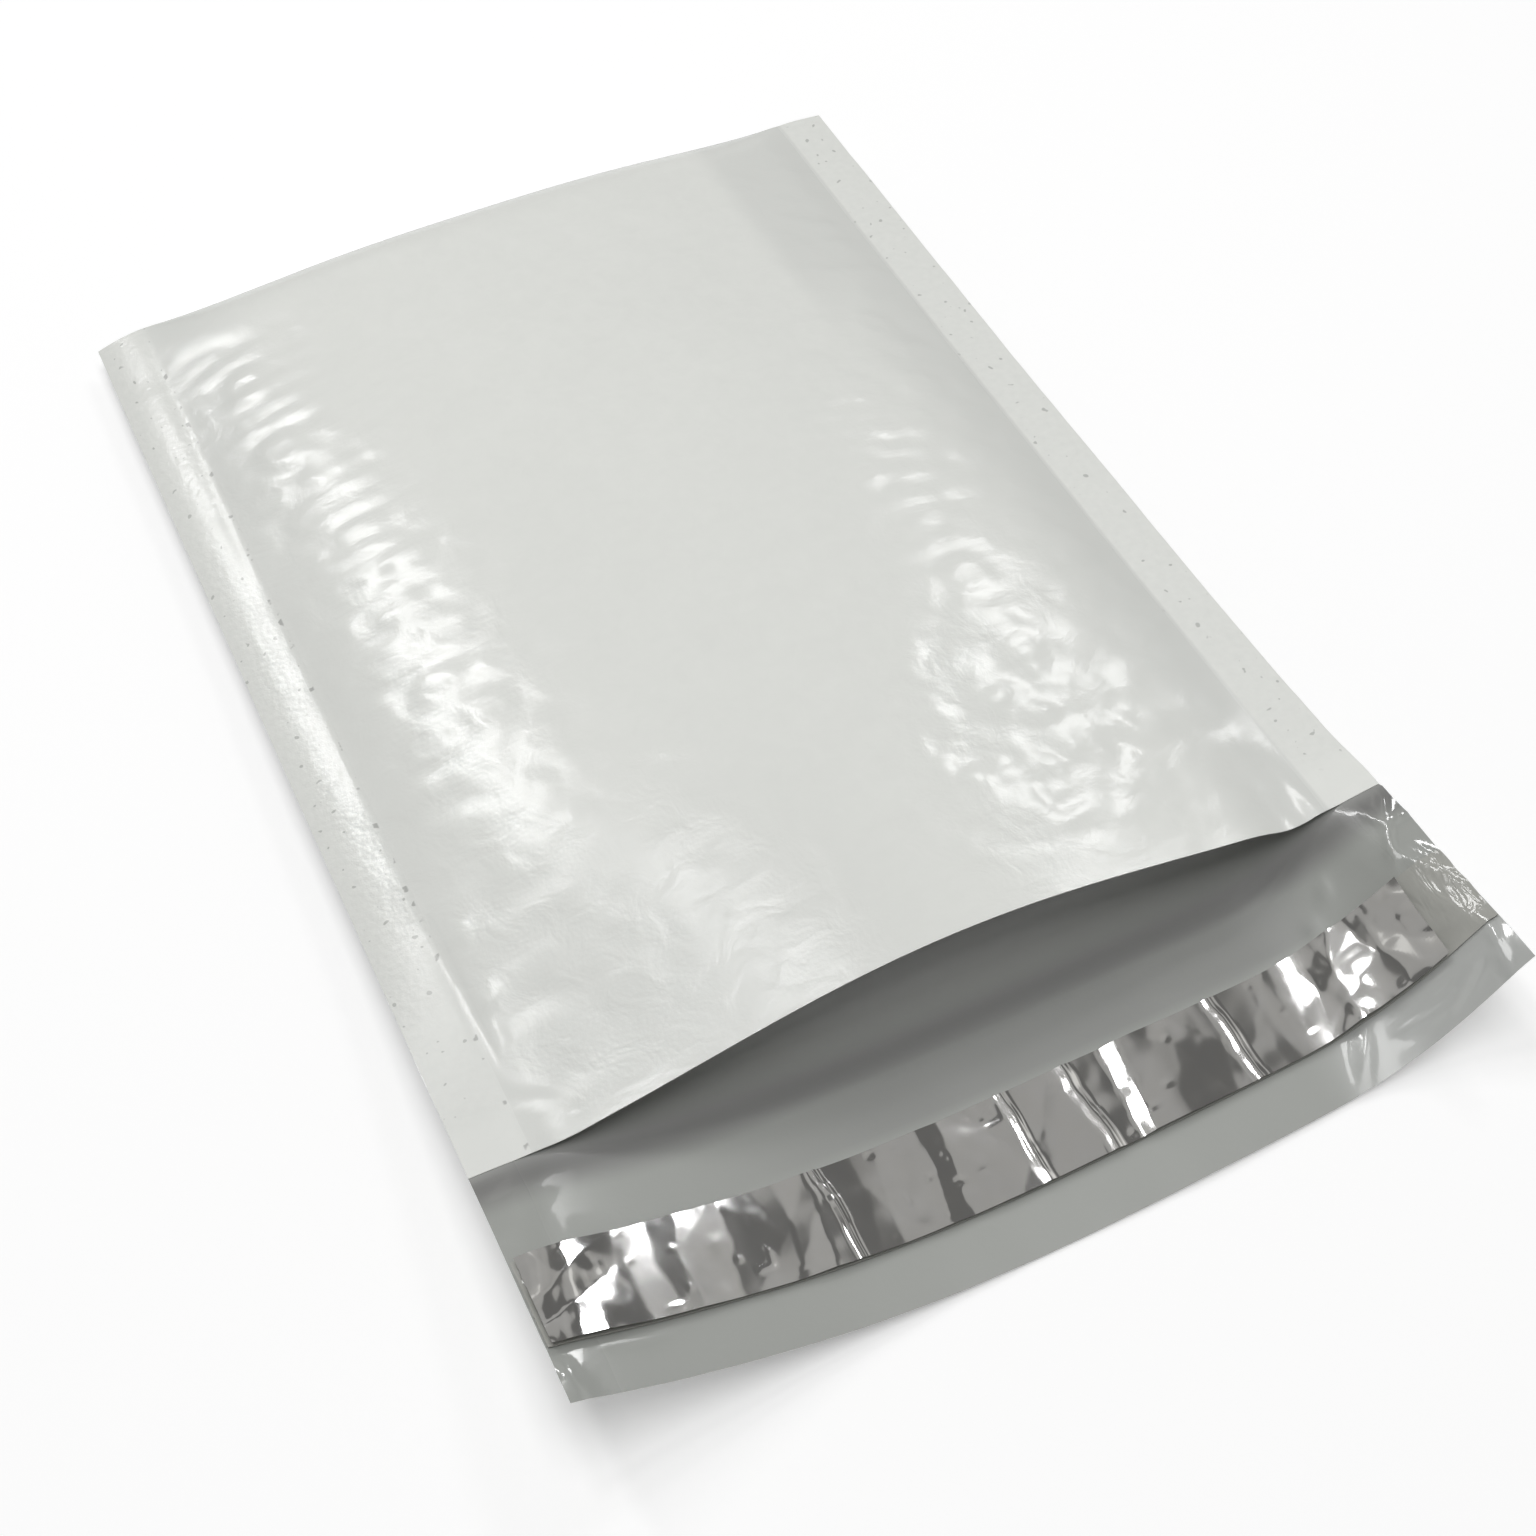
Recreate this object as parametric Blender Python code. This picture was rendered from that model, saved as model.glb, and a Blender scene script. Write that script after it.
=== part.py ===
# Padded mailing envelope: a folded plastic film pouch with a bubble lining, lying open on its back.
# Metres, +Z up, +X across the width, +Y from the mouth to the folded closed end.
# The origin is under the middle of the envelope, on the surface that it lies on.

import math

import bmesh
import bpy
from mathutils import Vector
from mathutils.geometry import delaunay_2d_cdt

# Film sheet: the pouch, its flap and its two welded side seams
envelope_width = 0.165
pouch_length = 0.212
flap_length = 0.041
flap_bow = 0.004
seam_width = 0.010
film_thickness = 0.0003
film_relief = 0.0005

# Heights of the film above the floor as the envelope lies
crown_height = 0.0195
lip_height = 0.0205
end_thickness = 0.015
end_round = 0.014
seam_height_at_mouth = 0.0112
seam_height_at_closed_end = 0.0065
flap_corner_height_left = 0.0162
flap_corner_height_right = 0.0175

# Half widths over which the back panel lies flat, and how far the open mouth disturbs it
flat_half_width = 0.040
mouth_flat_left = 0.0065
mouth_flat_right = 0.049
mouth_reach = 0.060
crown_slope_length = 0.080

# Exponents of the curves across the front panel, at the lip and further in
lip_roundness = 2.0
lip_taper = 1.9
pillow_roundness = 2.6

# Bubble lining
fit_gap = 0.0003
lining_thickness = 0.0040
lining_setback = 0.012
lining_side_gap = 0.002
lining_sealed_edge = 0.003
bubble_pitch = 0.0125
bubble_height = 0.0032
bubble_height_limit = 0.75
squeezed_share = 0.8
cavity_squareness = 6

# Adhesive strip on the flap, and the release liner over it
strip_start = 0.0167
strip_width = 0.0152
adhesive_thickness = 0.0003
liner_thickness = 0.0003
liner_crease = 0.0004
liner_short_left = 0.001
liner_short_right = 0.009

# Mesh spacing
column_spacing = 0.0052
side_row_spacing = 0.0074
plain_row_spacing = 0.0145
fold_steps = 4
weld_distance = 0.00001

# Worked out from the sizes above
half_width = envelope_width / 2
seam_inner = half_width - seam_width
overall_length = pouch_length + flap_length + flap_bow
mouth_y = flap_length + flap_bow - overall_length / 2
fold_start = pouch_length - end_round
lining_inset = film_thickness + fit_gap
lining_half_width = seam_inner - lining_side_gap
cavity_half_width = lining_half_width - lining_sealed_edge
bubble_row_step = bubble_pitch / (2 * math.sqrt(3))
bubble_corner_distance = bubble_pitch / math.sqrt(3)
bubble_field_start = lining_setback + bubble_pitch / 2
bubble_field_end = fold_start - bubble_pitch / 4
bubble_edge_margin = bubble_pitch / 4
film_relief_margin = bubble_pitch


def blend(start, end, share):
    return start + (end - start) * share


def clamp(value, low=0.0, high=1.0):
    return max(low, min(high, value))


def ease(share):
    share = clamp(share)
    return share * share * (3 - 2 * share)


def spread(start, end, spacing):
    """Evenly spaced values from start to end, no further apart than the spacing."""
    count = max(2, math.ceil((end - start) / spacing))
    return [blend(start, end, i / count) for i in range(count + 1)]


# Form of the sheet. s is the distance from the mouth: into the pouch, or negative out along the flap.

def side_height(x, s):
    """Height of the sheet's side edge: the seam, or the curled up edge of the flap."""
    if s >= 0:
        openness = (1 - clamp(s / pouch_length)) ** 2
        return blend(seam_height_at_closed_end, seam_height_at_mouth, openness)
    corner = flap_corner_height_left if x < 0 else flap_corner_height_right
    return blend(seam_height_at_mouth, corner, -s / flap_length)


def back_height(x, s):
    """Underside of the back panel and flap: flat in the middle and rising towards both sides."""
    mouth_flat = mouth_flat_left if x < 0 else mouth_flat_right
    flat = blend(mouth_flat, flat_half_width, ease(s / mouth_reach))
    rise_end = seam_inner + seam_width * clamp(-s / flap_length)
    share = clamp((abs(x) - flat) / (rise_end - flat))
    return side_height(x, s) * share ** 2


def crown(s):
    """Height of the front panel along its middle line."""
    from_mouth = blend(lip_height, crown_height, ease(s / mouth_reach))
    return blend(end_thickness, from_mouth, ease((fold_start - s) / crown_slope_length))


def front_height(x, s):
    """Top of the front panel: a pillow between the seams, and a bell shaped lip at the mouth."""
    weld_top = side_height(x, s) + 2 * film_thickness
    across = clamp(abs(x) / seam_inner)
    lip = (1 - across ** lip_roundness) ** lip_taper
    pillow = 1 - across ** pillow_roundness
    return weld_top + (crown(s) - weld_top) * blend(lip, pillow, ease(s / mouth_reach))


def pouch_half_thickness(x, s):
    s = min(s, fold_start)
    return (front_height(x, s) - back_height(x, s)) / 2


def pouch_point(x, s, side, inset):
    """Point of the pouch at a depth below its outer skin; side is 1 for the front, -1 for the back."""
    along = min(s, fold_start)
    turn = (s - along) / end_round * math.pi / 2
    middle = (front_height(x, along) + back_height(x, along)) / 2
    half = pouch_half_thickness(x, s)
    y = mouth_y + along + (end_round - inset) * math.sin(turn)
    return Vector((x, y, middle + side * (half - inset) * math.cos(turn)))


def flap_point(x, s, height):
    """Point above the underside of the flap, at the distance s out from the mouth."""
    bow = flap_bow * s / flap_length * (1 - (x / half_width) ** 2)
    return Vector((x, mouth_y - s - bow, back_height(x, -s) + height))


# Bubbles stand in staggered rows, so their edges make a honeycomb

def hollow_share(x, s):
    """0 on the middle of a bubble, 1 at the corners between three bubbles."""
    row_gap = 3 * bubble_row_step
    first = math.floor((s - bubble_field_start) / row_gap)
    nearest = bubble_pitch
    for row in (first, first + 1):
        shift = (row % 2) / 2
        column = round(x / bubble_pitch - shift) + shift
        away_x = x - column * bubble_pitch
        away_s = s - bubble_field_start - row * row_gap
        nearest = min(nearest, math.hypot(away_x, away_s))
    return clamp(nearest / bubble_corner_distance) ** 2


def bubble_points(limit):
    """Middles and corners of the bubbles that fit between -limit and limit."""
    points = []
    row_count = int((bubble_field_end - bubble_field_start) / bubble_row_step)
    column_count = int(limit / bubble_pitch) + 1
    for row in range(row_count + 1):
        shift = (row % 2) / 2
        for column in range(-column_count, column_count + 1):
            x = (column + shift) * bubble_pitch
            if abs(x) <= limit:
                points.append((x, bubble_field_start + row * bubble_row_step))
    return points


def film_relief_depth(x, s):
    """How far the film sinks between the bubbles behind it."""
    from_side = ease((seam_inner - abs(x)) / film_relief_margin)
    from_mouth = ease((s - lining_setback) / film_relief_margin)
    from_fold = ease((fold_start - s) / film_relief_margin)
    return film_relief * hollow_share(x, s) * from_side * from_mouth * from_fold


def lining_local_thickness(x, s):
    """The lining is squeezed thinner towards the side seams."""
    return min(lining_thickness, squeezed_share * (pouch_half_thickness(x, s) - lining_inset))


def lining_outer_inset(x, s):
    depth = min(bubble_height, bubble_height_limit * lining_local_thickness(x, s))
    return lining_inset + depth * hollow_share(x, s)


def lining_inner_inset(x, s):
    half = pouch_half_thickness(x, s)
    open_share = 1 - clamp(abs(x) / cavity_half_width) ** cavity_squareness
    free_half = half - lining_inset - lining_local_thickness(x, s)
    return half - free_half * open_share


# Flat nets of points and triangles, which the functions above then bend into place

def rectangle_net(columns, rows, inner_points):
    """Triangles over a rectangle whose border takes the given columns and rows."""
    border = [(x, rows[0]) for x in columns[:-1]]
    border += [(columns[-1], s) for s in rows[:-1]]
    border += [(x, rows[-1]) for x in reversed(columns[1:])]
    border += [(columns[0], s) for s in reversed(rows[1:])]
    points = [Vector(point) for point in border + inner_points]
    edges = [(i, (i + 1) % len(border)) for i in range(len(border))]
    for corner in (0, len(columns) - 1, len(columns) + len(rows) - 2, 2 * len(columns) + len(rows) - 3):
        nearest = min(range(len(border), len(points)), key=lambda i: (points[i] - points[corner]).length)
        edges.append((corner, nearest))
    inside_border = 1
    net_points, _, triangles, _, _, _ = delaunay_2d_cdt(points, edges, [], inside_border, 1e-7)
    return net_points, triangles


def grid_points(columns, rows):
    return [(x, s) for s in rows for x in columns[1:-1]]


def fold_rows():
    return [fold_start + end_round * step / fold_steps for step in range(1, fold_steps + 1)]


def side_rows(start, spacing):
    return spread(start, fold_start, spacing) + fold_rows()


def add_skin(mesh, net, place):
    points, triangles = net
    corners = [mesh.verts.new(place(point[0], point[1])) for point in points]
    for triangle in triangles:
        mesh.faces.new([corners[i] for i in triangle])


def add_wall(mesh, first_edge, second_edge):
    """Strip of faces between two rows of points."""
    first = [mesh.verts.new(point) for point in first_edge]
    second = [mesh.verts.new(point) for point in second_edge]
    for i in range(len(first) - 1):
        mesh.faces.new((first[i], first[i + 1], second[i + 1], second[i]))


def finish_object(name, mesh, material):
    """Weld the skins and walls into one closed body and make it an object."""
    bmesh.ops.remove_doubles(mesh, verts=mesh.verts, dist=weld_distance)
    bmesh.ops.dissolve_degenerate(mesh, edges=mesh.edges, dist=weld_distance)
    bmesh.ops.triangulate(mesh, faces=mesh.faces)
    bmesh.ops.recalc_face_normals(mesh, faces=mesh.faces)
    data = bpy.data.meshes.new(name)
    mesh.to_mesh(data)
    mesh.free()
    data.materials.append(material)
    data.shade_smooth()
    data.set_sharp_from_angle(angle=math.radians(40))
    part = bpy.data.objects.new(name, data)
    bpy.context.scene.collection.objects.link(part)
    return part


def make_material(name, colour, roughness, metallic=0.0):
    material = bpy.data.materials.new(name)
    material.use_nodes = True
    shader = material.node_tree.nodes["Principled BSDF"]
    shader.inputs["Base Color"].default_value = (*colour, 1)
    shader.inputs["Roughness"].default_value = roughness
    shader.inputs["Metallic"].default_value = metallic
    return material


def pouch_columns():
    return spread(-seam_inner, seam_inner, column_spacing)


def flap_columns():
    return [-half_width] + pouch_columns() + [half_width]


def flap_rows():
    strip_end = strip_start + strip_width
    strip_middle = strip_start + strip_width / 2
    return [0.0, strip_start / 2, strip_start, strip_middle, strip_end, flap_length]


def make_film():
    """One sheet: front panel, fold, back panel and flap, welded together along both sides."""
    mesh = bmesh.new()
    columns = pouch_columns()
    rows = side_rows(0.0, side_row_spacing)
    lip_points = grid_points(columns, [lining_setback / 2, lining_setback])
    end_points = grid_points(columns, [fold_start] + fold_rows()[:-1])
    bubbles = bubble_points(seam_inner - bubble_edge_margin)
    front_net = rectangle_net(columns, rows, lip_points + bubbles + end_points)
    plain_rows = spread(0.0, fold_start, plain_row_spacing)[1:-1]
    back_net = rectangle_net(columns, rows, grid_points(columns, plain_rows) + end_points)

    def front_outer(x, s):
        return pouch_point(x, s, 1, film_relief_depth(x, s))

    def front_inner(x, s):
        return pouch_point(x, s, 1, film_relief_depth(x, s) + film_thickness)

    def back_outer(x, s):
        return pouch_point(x, s, -1, 0.0)

    def back_inner(x, s):
        return pouch_point(x, s, -1, film_thickness)

    def flap_under(x, s):
        return flap_point(x, s, 0.0)

    def flap_top(x, s):
        return flap_point(x, s, film_thickness)

    add_skin(mesh, front_net, front_outer)
    add_skin(mesh, front_net, front_inner)
    add_skin(mesh, back_net, back_outer)
    add_skin(mesh, back_net, back_inner)

    out = flap_rows()
    for side in (-1, 1):
        weld, edge = side * seam_inner, side * half_width
        for skin in (front_outer, back_outer):
            add_wall(mesh, [skin(weld, s) for s in rows], [skin(edge, s) for s in rows])
        middle_line = [back_inner(edge, s) for s in rows]
        add_wall(mesh, [back_outer(edge, s) for s in rows], middle_line)
        add_wall(mesh, middle_line, [front_outer(edge, s) for s in rows])
        add_wall(mesh, [flap_under(edge, s) for s in out], [flap_top(edge, s) for s in out])
        add_wall(mesh, [front_outer(x, 0.0) for x in (weld, edge)], [back_inner(x, 0.0) for x in (weld, edge)])

    across = flap_columns()
    for skin in (flap_under, flap_top):
        for near, far in zip(out[:-1], out[1:]):
            add_wall(mesh, [skin(x, near) for x in across], [skin(x, far) for x in across])
    add_wall(mesh, [flap_under(x, flap_length) for x in across], [flap_top(x, flap_length) for x in across])
    add_wall(mesh, [front_outer(x, 0.0) for x in columns], [front_inner(x, 0.0) for x in columns])

    white_film = make_material("white film", (0.72, 0.73, 0.70), 0.35)
    return finish_object("outer_film", mesh, white_film)


def make_lining():
    """One folded sheet of bubble wrap: bubbles out against the film, smooth side in, sealed at the sides."""
    mesh = bmesh.new()
    inner_columns = spread(-cavity_half_width, cavity_half_width, column_spacing)
    columns = [-lining_half_width] + inner_columns + [lining_half_width]
    rows = side_rows(lining_setback, side_row_spacing)
    end_points = grid_points(columns, [fold_start] + fold_rows()[:-1])
    bubbles = bubble_points(cavity_half_width - bubble_edge_margin)
    outer_net = rectangle_net(columns, rows, bubbles + end_points)
    inner_rows = side_rows(lining_setback, plain_row_spacing)
    inner_net = rectangle_net(inner_columns, inner_rows, grid_points(inner_columns, inner_rows[1:-1]))

    def outer(x, s, side):
        return pouch_point(x, s, side, lining_outer_inset(x, s))

    def inner(x, s, side):
        return pouch_point(x, s, side, lining_inner_inset(x, s))

    for side in (-1, 1):
        add_skin(mesh, outer_net, lambda x, s: outer(x, s, side))
        add_skin(mesh, inner_net, lambda x, s: inner(x, s, side))
        rim_outer = [outer(x, lining_setback, side) for x in inner_columns]
        rim_inner = [inner(x, lining_setback, side) for x in inner_columns]
        add_wall(mesh, rim_outer, rim_inner)

    for end in (-1, 1):
        sealed, edge = end * cavity_half_width, end * lining_half_width
        add_wall(mesh, [outer(edge, s, -1) for s in rows], [outer(edge, s, 1) for s in rows])
        rim = [outer(sealed, lining_setback, -1), outer(edge, lining_setback, -1)]
        rim += [outer(edge, lining_setback, 1), outer(sealed, lining_setback, 1)]
        rim.append(inner(sealed, lining_setback, 1))
        mesh.faces.new([mesh.verts.new(point) for point in rim])

    clear_film = make_material("bubble film", (0.62, 0.63, 0.62), 0.3)
    return finish_object("bubble_lining", mesh, clear_film)


def make_strip(name, columns, raises, thickness, material):
    """A strip along the flap; each column stands its own height above the flap's underside."""
    mesh = bmesh.new()
    rows = [s for s in flap_rows() if strip_start <= s <= strip_start + strip_width]

    def surface(extra):
        return [[flap_place(x, s, rise + extra) for x, rise in zip(columns, raises)] for s in rows]

    under = surface(0.0)
    top = surface(thickness)
    for skin in (under, top):
        for near, far in zip(skin[:-1], skin[1:]):
            add_wall(mesh, near, far)
    for row in (0, -1):
        add_wall(mesh, under[row], top[row])
    for column in (0, -1):
        add_wall(mesh, [line[column] for line in under], [line[column] for line in top])
    return finish_object(name, mesh, material)


def flap_place(x, s, height):
    """Point above the flap as meshed: between two of its columns the flap runs straight."""
    columns = flap_columns()
    after = next(i for i in range(1, len(columns)) if x <= columns[i] + weld_distance)
    left, right = columns[after - 1], columns[after]
    share = (x - left) / (right - left)
    return flap_point(left, s, height).lerp(flap_point(right, s, height), share)


def make_adhesive():
    columns = flap_columns()
    raises = [film_thickness + fit_gap] * len(columns)
    adhesive = make_material("adhesive", (0.55, 0.55, 0.53), 0.2)
    return make_strip("adhesive_strip", columns, raises, adhesive_thickness, adhesive)


def make_release_liner():
    """Metallised film over the adhesive, creased up between its resting lines."""
    left = -half_width + liner_short_left
    right = half_width - liner_short_right
    resting = [left] + [x for x in flap_columns() if left < x < right] + [right]
    columns = []
    raises = []
    seat = film_thickness + adhesive_thickness + 2 * fit_gap
    for here, following in zip(resting[:-1], resting[1:]):
        columns += [here, (here + following) / 2]
        raises += [seat, seat + liner_crease]
    columns.append(right)
    raises.append(seat)
    silver = make_material("metallised film", (0.70, 0.70, 0.72), 0.12, 1.0)
    return make_strip("release_liner", columns, raises, liner_thickness, silver)


def main():
    for old in list(bpy.data.objects):
        bpy.data.objects.remove(old, do_unlink=True)
    make_film()
    make_lining()
    make_adhesive()
    make_release_liner()


main()
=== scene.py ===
# Padded envelope of white film, lying open on its back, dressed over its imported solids.
# Metres, +Z up, +X across the width, +Y from the mouth to the folded closed end.

import math

import bpy
import numpy as np
from mathutils import Matrix, Vector


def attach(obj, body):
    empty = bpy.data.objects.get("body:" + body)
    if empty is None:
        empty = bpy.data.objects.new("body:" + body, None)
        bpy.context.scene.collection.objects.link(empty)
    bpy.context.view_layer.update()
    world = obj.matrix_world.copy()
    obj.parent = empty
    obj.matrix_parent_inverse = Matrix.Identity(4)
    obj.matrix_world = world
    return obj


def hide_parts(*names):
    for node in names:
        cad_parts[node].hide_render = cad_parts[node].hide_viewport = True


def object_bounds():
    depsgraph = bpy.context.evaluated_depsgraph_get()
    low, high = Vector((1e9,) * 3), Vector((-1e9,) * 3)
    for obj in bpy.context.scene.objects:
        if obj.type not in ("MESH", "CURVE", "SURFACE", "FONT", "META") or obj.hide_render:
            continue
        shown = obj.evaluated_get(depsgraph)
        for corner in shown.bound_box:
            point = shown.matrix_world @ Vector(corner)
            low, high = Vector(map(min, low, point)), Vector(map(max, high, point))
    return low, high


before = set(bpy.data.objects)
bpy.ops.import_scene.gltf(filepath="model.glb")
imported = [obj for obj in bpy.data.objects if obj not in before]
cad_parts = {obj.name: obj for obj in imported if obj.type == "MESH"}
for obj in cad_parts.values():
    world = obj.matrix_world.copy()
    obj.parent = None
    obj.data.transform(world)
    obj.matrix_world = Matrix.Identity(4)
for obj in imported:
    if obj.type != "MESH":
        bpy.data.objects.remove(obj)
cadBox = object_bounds()
print("frame loaded")


# Camera and light

camera = {
    "place": (-0.10452, -0.24534, 0.32254),
    "aim": (-0.00607, -0.02912, 0.005),
    "rollDegrees": -1.58,
    "focalPixels": 2264,
    "photoPixels": 1536,
    "sensorWidth": 36,
}


def addCamera():
    data = bpy.data.cameras.new("photoCamera")
    data.sensor_fit = "HORIZONTAL"
    data.sensor_width = camera["sensorWidth"]
    data.lens = camera["focalPixels"] / camera["photoPixels"] * camera["sensorWidth"]
    data.clip_start = 0.01
    eye = bpy.data.objects.new("photoCamera", data)
    bpy.context.scene.collection.objects.link(eye)
    place = Vector(camera["place"])
    turn = (Vector(camera["aim"]) - place).to_track_quat("-Z", "Y").to_matrix()
    turn = turn @ Matrix.Rotation(math.radians(camera["rollDegrees"]), 3, "Z")
    eye.matrix_world = Matrix.Translation(place) @ turn.to_4x4()
    bpy.context.scene.camera = eye


studio = {
    "floorSize": 8.0,
    "floorDrop": 0.0003,
    "floorColour": (0.80, 0.80, 0.80, 1),
    "floorLift": 0.27,
    "farLift": 0.68,
    "farReach": 2.5,
    "farStops": [(0.12, 0.0), (1.0, 1.0)],
    "ambient": 0.21,
    "patchNoise": {"scale": 3.0, "detail": 1.0, "distortion": 0.4},
    "patches": [(0.385, 0.13), (0.39, 0.34), (0.58, 0.42), (0.585, 0.76)],
    "patchColour": (1.0, 0.99, 0.94, 1),
    "lamps": {
        "overhead": {"towards": (0.0, -0.10, 1.0), "distance": 1.7, "size": (1.1, 1.1), "watts": 14.9},
        "leftWindow": {"towards": (-0.22, 0.63, 0.74), "distance": 1.6, "size": (0.10, 0.60), "watts": 3.6},
        "rightWindow": {"towards": (0.60, 0.475, 0.645), "distance": 1.6, "size": (0.20, 0.26), "watts": 1.8},
        "rearPanel": {"towards": (-0.02, 0.36, 0.93), "distance": 1.6, "size": (0.26, 0.20), "watts": 2.2},
    },
}


def addLamp(name, lamp):
    data = bpy.data.lights.new(name, "AREA")
    data.shape = "RECTANGLE"
    data.size, data.size_y = lamp["size"]
    data.energy = lamp["watts"]
    place = Vector(lamp["towards"]).normalized() * lamp["distance"]
    light = bpy.data.objects.new(name, data)
    bpy.context.scene.collection.objects.link(light)
    light.location = place
    light.rotation_euler = (-place).to_track_quat("-Z", "Y").to_euler()


# Shader nodes, written as expressions

class Reading:
    # A value socket that takes part in sums; each operator adds its Math node
    def __init__(self, finish, socket):
        self.finish = finish
        self.socket = socket

    def maths(self, operation, first, second=None):
        sockets = {0: first} if second is None else {0: first, 1: second}
        return self.finish.read(self.finish.add("ShaderNodeMath", {"operation": operation}, sockets))

    def __add__(self, other):
        return self.maths("ADD", self, other)

    def __radd__(self, other):
        return self.maths("ADD", other, self)

    def __sub__(self, other):
        return self.maths("SUBTRACT", self, other)

    def __rsub__(self, other):
        return self.maths("SUBTRACT", other, self)

    def __mul__(self, other):
        return self.maths("MULTIPLY", self, other)

    def __rmul__(self, other):
        return self.maths("MULTIPLY", other, self)


class Finish:
    # One node material, or the world's nodes
    def __init__(self, name, tree=None):
        if tree is None:
            self.material = bpy.data.materials.new(name)
            self.material.use_nodes = True
            tree = self.material.node_tree
        self.tree = tree
        tree.nodes.clear()

    def add(self, kind, settings=None, sockets=None):
        node = self.tree.nodes.new(kind)
        for setting, choice in (settings or {}).items():
            if setting == "stops":
                self.setStops(node.color_ramp, choice)
            else:
                setattr(node, setting, choice)
        for socket, content in (sockets or {}).items():
            if isinstance(content, Reading):
                content = content.socket
            if isinstance(content, bpy.types.NodeSocket):
                self.tree.links.new(content, node.inputs[socket])
            else:
                node.inputs[socket].default_value = content
        return node

    def setStops(self, ramp, stops):
        while len(ramp.elements) < len(stops):
            ramp.elements.new(0.5)
        for element, (place, shade) in zip(ramp.elements, stops):
            element.position = place
            element.color = (shade, shade, shade, 1)

    def read(self, node, output=0):
        return Reading(self, node.outputs[output])

    def step(self, reading, stops):
        return self.read(self.add("ShaderNodeValToRGB", {"stops": stops}, {"Fac": reading}))

    def layer(self, name):
        return self.read(self.add("ShaderNodeAttribute", {"attribute_name": name}), "Fac")

    def flatPlace(self, stretch=(1, 1, 1)):
        place = self.add("ShaderNodeUVMap", {"uv_map": "flat"})
        sockets = {"Vector": place.outputs[0], "Scale": stretch}
        return self.add("ShaderNodeMapping", {}, sockets).outputs[0]

    def across(self):
        # Place across the width, from the flat sheet's UVs
        place = self.add("ShaderNodeUVMap", {"uv_map": "flat"})
        return self.read(self.add("ShaderNodeSeparateXYZ", {}, {"Vector": place.outputs[0]}))

    def absolute(self, reading):
        return reading.maths("ABSOLUTE", reading)

    def clamped(self, reading):
        settings = {"operation": "ADD", "use_clamp": True}
        return self.read(self.add("ShaderNodeMath", settings, {0: reading, 1: 0.0}))

    def noise(self, place, scale, detail=2.0, distortion=0.0):
        sockets = {"Vector": place, "Scale": scale, "Detail": detail, "Distortion": distortion}
        return self.read(self.add("ShaderNodeTexNoise", {}, sockets), "Fac")

    def mixColours(self, share, first, second):
        # Inputs 6 and 7 and output 2 are the Mix node's colours
        return self.add("ShaderNodeMix", {"data_type": "RGBA"}, {0: share, 6: first, 7: second}).outputs[2]

    def bump(self, height, depth):
        sockets = {"Height": height, "Distance": depth, "Strength": 1.0}
        return self.add("ShaderNodeBump", {}, sockets).outputs[0]

    def surface(self, sockets):
        shader = self.add("ShaderNodeBsdfPrincipled", {}, sockets)
        self.add("ShaderNodeOutputMaterial", {}, {"Surface": shader.outputs[0]})
        return self.material


def addFloor():
    bpy.ops.object.select_all(action="DESELECT")
    bpy.ops.mesh.primitive_plane_add(size=studio["floorSize"], location=(0, 0, -studio["floorDrop"]))
    floor = bpy.context.object
    floor.name = "floor"
    paper = Finish("floorPaper")
    diffuse = paper.add("ShaderNodeBsdfDiffuse", {}, {"Color": studio["floorColour"]})
    seen = paper.read(paper.add("ShaderNodeLightPath"), "Is Camera Ray")
    place = paper.add("ShaderNodeTexCoord").outputs["Object"]
    distance = paper.read(paper.add("ShaderNodeVectorMath", {"operation": "LENGTH"}, {0: place}), "Value")
    far = paper.step(distance * (1 / studio["farReach"]), studio["farStops"])
    strength = seen * (studio["floorLift"] + far * (studio["farLift"] - studio["floorLift"]))
    lift = paper.add("ShaderNodeEmission", {}, {"Strength": strength})
    both = paper.add("ShaderNodeAddShader", {}, {0: diffuse.outputs[0], 1: lift.outputs[0]})
    paper.add("ShaderNodeOutputMaterial", {}, {"Surface": both.outputs[0]})
    floor.data.materials.append(paper.material)


def setWorld():
    world = bpy.data.worlds.new("studio")
    bpy.context.scene.world = world
    world.use_nodes = True
    air = Finish("studio", world.node_tree)
    path = air.add("ShaderNodeLightPath")
    direction = air.add("ShaderNodeTexCoord").outputs["Generated"]
    patches = air.step(air.noise(direction, **studio["patchNoise"]), studio["patches"])
    glossy = air.read(path, "Is Glossy Ray")
    seen = air.read(path, "Is Camera Ray")
    strength = seen + (1 - seen) * (glossy * patches + (1 - glossy) * studio["ambient"])
    colour = air.mixColours(glossy, (1, 1, 1, 1), studio["patchColour"])
    back = air.add("ShaderNodeBackground", {}, {"Color": colour, "Strength": strength})
    air.add("ShaderNodeOutputWorld", {}, {"Surface": back.outputs[0]})


bpy.context.scene.view_settings.view_transform = "Standard"
addCamera()
addFloor()
setWorld()
for lampName, lampValues in studio["lamps"].items():
    addLamp(lampName, lampValues)
print("camera, floor and lamps set")


# Form of the film sheet. s is the distance from the mouth into the pouch, negative out along the flap

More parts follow.
